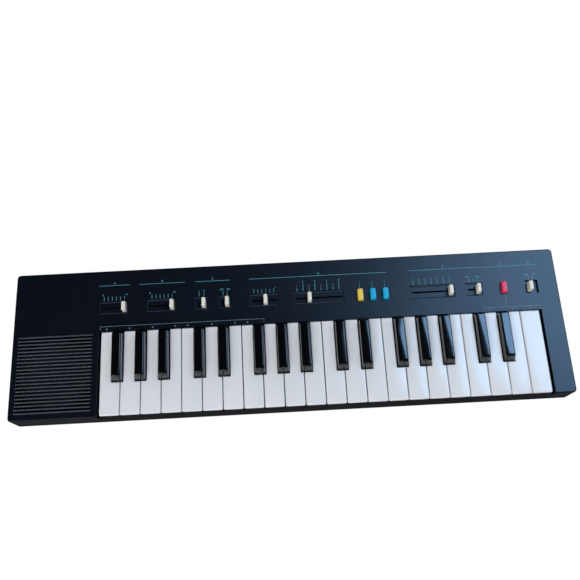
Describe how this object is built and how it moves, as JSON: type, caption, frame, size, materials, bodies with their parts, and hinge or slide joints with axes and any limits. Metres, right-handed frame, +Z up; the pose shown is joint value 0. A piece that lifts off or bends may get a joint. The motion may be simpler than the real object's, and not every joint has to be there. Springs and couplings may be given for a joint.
{
  "type": "portable keyboard",
  "caption": "Portable electronic keyboard with small hinged keys, a speaker grille on the left and a row of sliders and push buttons.",
  "frame": {"origin": "on the table, under the middle of the housing", "axes": "+X to the high notes along the keyboard, +Z up, the player sits at -Y"},
  "size_m": [0.551, 0.1502, 0.0435],
  "materials": {
    "case_plastic": "navy black moulded ABS, fine satin texture",
    "white_key_plastic": "white moulded keys, semi gloss",
    "black_key_plastic": "black moulded keys, gloss",
    "cap_plastic": "cream moulded caps, satin",
    "yellow_plastic": "yellow moulded button, satin",
    "blue_plastic": "cyan blue moulded button, satin",
    "red_plastic": "pinkish red moulded button, satin",
    "frame_plastic": "dark grey moulded frame",
    "contact_rubber": "grey moulded silicone rubber",
    "board_laminate": "brown paper laminate",
    "speaker_paper": "black paper cone and painted basket",
    "jack_plastic": "black moulded socket block",
    "contact_steel": "nickel plated spring steel"
  },
  "bodies": {
    "housing": {"upper_case": "case_plastic", "lower_case": "case_plastic", "jack_block": "jack_plastic", "control_board": "board_laminate", "key_frame": "frame_plastic", "key_contact_board": "board_laminate", "key_contact_strip": "contact_rubber", "speaker": "speaker_paper", "battery_contact": "contact_steel"},
    "battery_cover": {"battery_cover": "case_plastic"},
    "master_volume_slider": {"master_volume_slider": "cap_plastic"},
    "accompaniment_volume_slider": {"accompaniment_volume_slider": "cap_plastic"},
    "variation_switch": {"variation_switch": "cap_plastic"},
    "chord_switch": {"chord_switch": "cap_plastic"},
    "tempo_slider": {"tempo_slider": "cap_plastic"},
    "rhythm_selector": {"rhythm_selector": "cap_plastic"},
    "orchestra_selector": {"orchestra_selector": "cap_plastic"},
    "sustain_switch": {"sustain_switch": "cap_plastic"},
    "power_switch": {"power_switch": "cap_plastic"},
    "stop_button": {"stop_button": "yellow_plastic"},
    "sync_start_button": {"sync_start_button": "blue_plastic"},
    "start_button": {"start_button": "blue_plastic"},
    "melody_button": {"melody_button": "red_plastic"},
    "white_key_01": {"white_key_01": "white_key_plastic"},
    "white_key_02": {"white_key_02": "white_key_plastic"},
    "white_key_03": {"white_key_03": "white_key_plastic"},
    "white_key_04": {"white_key_04": "white_key_plastic"},
    "white_key_05": {"white_key_05": "white_key_plastic"},
    "white_key_06": {"white_key_06": "white_key_plastic"},
    "white_key_07": {"white_key_07": "white_key_plastic"},
    "white_key_08": {"white_key_08": "white_key_plastic"},
    "white_key_09": {"white_key_09": "white_key_plastic"},
    "white_key_10": {"white_key_10": "white_key_plastic"},
    "white_key_11": {"white_key_11": "white_key_plastic"},
    "white_key_12": {"white_key_12": "white_key_plastic"},
    "white_key_13": {"white_key_13": "white_key_plastic"},
    "white_key_14": {"white_key_14": "white_key_plastic"},
    "white_key_15": {"white_key_15": "white_key_plastic"},
    "white_key_16": {"white_key_16": "white_key_plastic"},
    "white_key_17": {"white_key_17": "white_key_plastic"},
    "white_key_18": {"white_key_18": "white_key_plastic"},
    "white_key_19": {"white_key_19": "white_key_plastic"},
    "white_key_20": {"white_key_20": "white_key_plastic"},
    "white_key_21": {"white_key_21": "white_key_plastic"},
    "white_key_22": {"white_key_22": "white_key_plastic"},
    "black_key_01": {"black_key_01": "black_key_plastic"},
    "black_key_02": {"black_key_02": "black_key_plastic"},
    "black_key_03": {"black_key_03": "black_key_plastic"},
    "black_key_04": {"black_key_04": "black_key_plastic"},
    "black_key_05": {"black_key_05": "black_key_plastic"},
    "black_key_06": {"black_key_06": "black_key_plastic"},
    "black_key_07": {"black_key_07": "black_key_plastic"},
    "black_key_08": {"black_key_08": "black_key_plastic"},
    "black_key_09": {"black_key_09": "black_key_plastic"},
    "black_key_10": {"black_key_10": "black_key_plastic"},
    "black_key_11": {"black_key_11": "black_key_plastic"},
    "black_key_12": {"black_key_12": "black_key_plastic"},
    "black_key_13": {"black_key_13": "black_key_plastic"},
    "black_key_14": {"black_key_14": "black_key_plastic"},
    "black_key_15": {"black_key_15": "black_key_plastic"}
  },
  "joints": [
    {"name": "master_volume_slider_slide", "type": "slide", "parent": "housing", "child": "master_volume_slider", "axis": [1, 0, 0], "range_m": [-0.0206, 0]},
    {"name": "accompaniment_volume_slider_slide", "type": "slide", "parent": "housing", "child": "accompaniment_volume_slider", "axis": [1, 0, 0], "range_m": [-0.0205, 0]},
    {"name": "variation_switch_slide", "type": "slide", "parent": "housing", "child": "variation_switch", "axis": [1, 0, 0], "range_m": [-0.0048, 0]},
    {"name": "chord_switch_slide", "type": "slide", "parent": "housing", "child": "chord_switch", "axis": [1, 0, 0], "range_m": [-0.004, 0]},
    {"name": "tempo_slider_slide", "type": "slide", "parent": "housing", "child": "tempo_slider", "axis": [1, 0, 0], "range_m": [-0.01151, 0.00869]},
    {"name": "rhythm_selector_slide", "type": "slide", "parent": "housing", "child": "rhythm_selector", "axis": [1, 0, 0], "range_m": [-0.01223, 0.03057]},
    {"name": "orchestra_selector_slide", "type": "slide", "parent": "housing", "child": "orchestra_selector", "axis": [1, 0, 0], "range_m": [-0.0372, 0]},
    {"name": "sustain_switch_slide", "type": "slide", "parent": "housing", "child": "sustain_switch", "axis": [1, 0, 0], "range_m": [-0.0081, 0]},
    {"name": "power_switch_slide", "type": "slide", "parent": "housing", "child": "power_switch", "axis": [1, 0, 0], "range_m": [0, 0.004]},
    {"name": "stop_button_press", "type": "slide", "parent": "housing", "child": "stop_button", "axis": [0, 0, -1], "range_m": [0, 0.0016], "stiffness_N_per_m": 500, "springref_m": -0.001},
    {"name": "sync_start_button_press", "type": "slide", "parent": "housing", "child": "sync_start_button", "axis": [0, 0, -1], "range_m": [0, 0.0016], "stiffness_N_per_m": 500, "springref_m": -0.001},
    {"name": "start_button_press", "type": "slide", "parent": "housing", "child": "start_button", "axis": [0, 0, -1], "range_m": [0, 0.0016], "stiffness_N_per_m": 500, "springref_m": -0.001},
    {"name": "melody_button_press", "type": "slide", "parent": "housing", "child": "melody_button", "axis": [0, 0, -1], "range_m": [0, 0.0016], "stiffness_N_per_m": 500, "springref_m": -0.001},
    {"name": "battery_cover_slide", "type": "slide", "parent": "housing", "child": "battery_cover", "axis": [0, 1, 0], "range_m": [0, 0.012]},
    {"name": "white_key_01_hinge", "type": "hinge", "parent": "housing", "child": "white_key_01", "pos_m": [-0.1778, 0.019, 0.024], "axis": [1, 0, 0], "range_deg": [0, 3], "stiffness_Nm_per_rad": 0.6, "springref_deg": -2.86},
    {"name": "white_key_02_hinge", "type": "hinge", "parent": "housing", "child": "white_key_02", "pos_m": [-0.1578, 0.019, 0.024], "axis": [1, 0, 0], "range_deg": [0, 3], "stiffness_Nm_per_rad": 0.6, "springref_deg": -2.86},
    {"name": "white_key_03_hinge", "type": "hinge", "parent": "housing", "child": "white_key_03", "pos_m": [-0.1378, 0.019, 0.024], "axis": [1, 0, 0], "range_deg": [0, 3], "stiffness_Nm_per_rad": 0.6, "springref_deg": -2.86},
    {"name": "white_key_04_hinge", "type": "hinge", "parent": "housing", "child": "white_key_04", "pos_m": [-0.1178, 0.019, 0.024], "axis": [1, 0, 0], "range_deg": [0, 3], "stiffness_Nm_per_rad": 0.6, "springref_deg": -2.86},
    {"name": "white_key_05_hinge", "type": "hinge", "parent": "housing", "child": "white_key_05", "pos_m": [-0.0978, 0.019, 0.024], "axis": [1, 0, 0], "range_deg": [0, 3], "stiffness_Nm_per_rad": 0.6, "springref_deg": -2.86},
    {"name": "white_key_06_hinge", "type": "hinge", "parent": "housing", "child": "white_key_06", "pos_m": [-0.0778, 0.019, 0.024], "axis": [1, 0, 0], "range_deg": [0, 3], "stiffness_Nm_per_rad": 0.6, "springref_deg": -2.86},
    {"name": "white_key_07_hinge", "type": "hinge", "parent": "housing", "child": "white_key_07", "pos_m": [-0.0578, 0.019, 0.024], "axis": [1, 0, 0], "range_deg": [0, 3], "stiffness_Nm_per_rad": 0.6, "springref_deg": -2.86},
    {"name": "white_key_08_hinge", "type": "hinge", "parent": "housing", "child": "white_key_08", "pos_m": [-0.0378, 0.019, 0.024], "axis": [1, 0, 0], "range_deg": [0, 3], "stiffness_Nm_per_rad": 0.6, "springref_deg": -2.86},
    {"name": "white_key_09_hinge", "type": "hinge", "parent": "housing", "child": "white_key_09", "pos_m": [-0.0178, 0.019, 0.024], "axis": [1, 0, 0], "range_deg": [0, 3], "stiffness_Nm_per_rad": 0.6, "springref_deg": -2.86},
    {"name": "white_key_10_hinge", "type": "hinge", "parent": "housing", "child": "white_key_10", "pos_m": [0.0022, 0.019, 0.024], "axis": [1, 0, 0], "range_deg": [0, 3], "stiffness_Nm_per_rad": 0.6, "springref_deg": -2.86},
    {"name": "white_key_11_hinge", "type": "hinge", "parent": "housing", "child": "white_key_11", "pos_m": [0.0222, 0.019, 0.024], "axis": [1, 0, 0], "range_deg": [0, 3], "stiffness_Nm_per_rad": 0.6, "springref_deg": -2.86},
    {"name": "white_key_12_hinge", "type": "hinge", "parent": "housing", "child": "white_key_12", "pos_m": [0.0422, 0.019, 0.024], "axis": [1, 0, 0], "range_deg": [0, 3], "stiffness_Nm_per_rad": 0.6, "springref_deg": -2.86},
    {"name": "white_key_13_hinge", "type": "hinge", "parent": "housing", "child": "white_key_13", "pos_m": [0.0622, 0.019, 0.024], "axis": [1, 0, 0], "range_deg": [0, 3], "stiffness_Nm_per_rad": 0.6, "springref_deg": -2.86},
    {"name": "white_key_14_hinge", "type": "hinge", "parent": "housing", "child": "white_key_14", "pos_m": [0.0822, 0.019, 0.024], "axis": [1, 0, 0], "range_deg": [0, 3], "stiffness_Nm_per_rad": 0.6, "springref_deg": -2.86},
    {"name": "white_key_15_hinge", "type": "hinge", "parent": "housing", "child": "white_key_15", "pos_m": [0.1022, 0.019, 0.024], "axis": [1, 0, 0], "range_deg": [0, 3], "stiffness_Nm_per_rad": 0.6, "springref_deg": -2.86},
    {"name": "white_key_16_hinge", "type": "hinge", "parent": "housing", "child": "white_key_16", "pos_m": [0.1222, 0.019, 0.024], "axis": [1, 0, 0], "range_deg": [0, 3], "stiffness_Nm_per_rad": 0.6, "springref_deg": -2.86},
    {"name": "white_key_17_hinge", "type": "hinge", "parent": "housing", "child": "white_key_17", "pos_m": [0.1422, 0.019, 0.024], "axis": [1, 0, 0], "range_deg": [0, 3], "stiffness_Nm_per_rad": 0.6, "springref_deg": -2.86},
    {"name": "white_key_18_hinge", "type": "hinge", "parent": "housing", "child": "white_key_18", "pos_m": [0.1622, 0.019, 0.024], "axis": [1, 0, 0], "range_deg": [0, 3], "stiffness_Nm_per_rad": 0.6, "springref_deg": -2.86},
    {"name": "white_key_19_hinge", "type": "hinge", "parent": "housing", "child": "white_key_19", "pos_m": [0.1822, 0.019, 0.024], "axis": [1, 0, 0], "range_deg": [0, 3], "stiffness_Nm_per_rad": 0.6, "springref_deg": -2.86},
    {"name": "white_key_20_hinge", "type": "hinge", "parent": "housing", "child": "white_key_20", "pos_m": [0.2022, 0.019, 0.024], "axis": [1, 0, 0], "range_deg": [0, 3], "stiffness_Nm_per_rad": 0.6, "springref_deg": -2.86},
    {"name": "white_key_21_hinge", "type": "hinge", "parent": "housing", "child": "white_key_21", "pos_m": [0.2222, 0.019, 0.024], "axis": [1, 0, 0], "range_deg": [0, 3], "stiffness_Nm_per_rad": 0.6, "springref_deg": -2.86},
    {"name": "white_key_22_hinge", "type": "hinge", "parent": "housing", "child": "white_key_22", "pos_m": [0.2422, 0.019, 0.024], "axis": [1, 0, 0], "range_deg": [0, 3], "stiffness_Nm_per_rad": 0.6, "springref_deg": -2.86},
    {"name": "black_key_01_hinge", "type": "hinge", "parent": "housing", "child": "black_key_01", "pos_m": [-0.17066, 0.019, 0.024], "axis": [1, 0, 0], "range_deg": [0, 3], "stiffness_Nm_per_rad": 0.6, "springref_deg": -2.86},
    {"name": "black_key_02_hinge", "type": "hinge", "parent": "housing", "child": "black_key_02", "pos_m": [-0.1478, 0.019, 0.024], "axis": [1, 0, 0], "range_deg": [0, 3], "stiffness_Nm_per_rad": 0.6, "springref_deg": -2.86},
    {"name": "black_key_03_hinge", "type": "hinge", "parent": "housing", "child": "black_key_03", "pos_m": [-0.12494, 0.019, 0.024], "axis": [1, 0, 0], "range_deg": [0, 3], "stiffness_Nm_per_rad": 0.6, "springref_deg": -2.86},
    {"name": "black_key_04_hinge", "type": "hinge", "parent": "housing", "child": "black_key_04", "pos_m": [-0.0898, 0.019, 0.024], "axis": [1, 0, 0], "range_deg": [0, 3], "stiffness_Nm_per_rad": 0.6, "springref_deg": -2.86},
    {"name": "black_key_05_hinge", "type": "hinge", "parent": "housing", "child": "black_key_05", "pos_m": [-0.0658, 0.019, 0.024], "axis": [1, 0, 0], "range_deg": [0, 3], "stiffness_Nm_per_rad": 0.6, "springref_deg": -2.86},
    {"name": "black_key_06_hinge", "type": "hinge", "parent": "housing", "child": "black_key_06", "pos_m": [-0.03066, 0.019, 0.024], "axis": [1, 0, 0], "range_deg": [0, 3], "stiffness_Nm_per_rad": 0.6, "springref_deg": -2.86},
    {"name": "black_key_07_hinge", "type": "hinge", "parent": "housing", "child": "black_key_07", "pos_m": [-0.0078, 0.019, 0.024], "axis": [1, 0, 0], "range_deg": [0, 3], "stiffness_Nm_per_rad": 0.6, "springref_deg": -2.86},
    {"name": "black_key_08_hinge", "type": "hinge", "parent": "housing", "child": "black_key_08", "pos_m": [0.01506, 0.019, 0.024], "axis": [1, 0, 0], "range_deg": [0, 3], "stiffness_Nm_per_rad": 0.6, "springref_deg": -2.86},
    {"name": "black_key_09_hinge", "type": "hinge", "parent": "housing", "child": "black_key_09", "pos_m": [0.0502, 0.019, 0.024], "axis": [1, 0, 0], "range_deg": [0, 3], "stiffness_Nm_per_rad": 0.6, "springref_deg": -2.86},
    {"name": "black_key_10_hinge", "type": "hinge", "parent": "housing", "child": "black_key_10", "pos_m": [0.0742, 0.019, 0.024], "axis": [1, 0, 0], "range_deg": [0, 3], "stiffness_Nm_per_rad": 0.6, "springref_deg": -2.86},
    {"name": "black_key_11_hinge", "type": "hinge", "parent": "housing", "child": "black_key_11", "pos_m": [0.10934, 0.019, 0.024], "axis": [1, 0, 0], "range_deg": [0, 3], "stiffness_Nm_per_rad": 0.6, "springref_deg": -2.86},
    {"name": "black_key_12_hinge", "type": "hinge", "parent": "housing", "child": "black_key_12", "pos_m": [0.1322, 0.019, 0.024], "axis": [1, 0, 0], "range_deg": [0, 3], "stiffness_Nm_per_rad": 0.6, "springref_deg": -2.86},
    {"name": "black_key_13_hinge", "type": "hinge", "parent": "housing", "child": "black_key_13", "pos_m": [0.15506, 0.019, 0.024], "axis": [1, 0, 0], "range_deg": [0, 3], "stiffness_Nm_per_rad": 0.6, "springref_deg": -2.86},
    {"name": "black_key_14_hinge", "type": "hinge", "parent": "housing", "child": "black_key_14", "pos_m": [0.1902, 0.019, 0.024], "axis": [1, 0, 0], "range_deg": [0, 3], "stiffness_Nm_per_rad": 0.6, "springref_deg": -2.86},
    {"name": "black_key_15_hinge", "type": "hinge", "parent": "housing", "child": "black_key_15", "pos_m": [0.2142, 0.019, 0.024], "axis": [1, 0, 0], "range_deg": [0, 3], "stiffness_Nm_per_rad": 0.6, "springref_deg": -2.86}
  ]
}
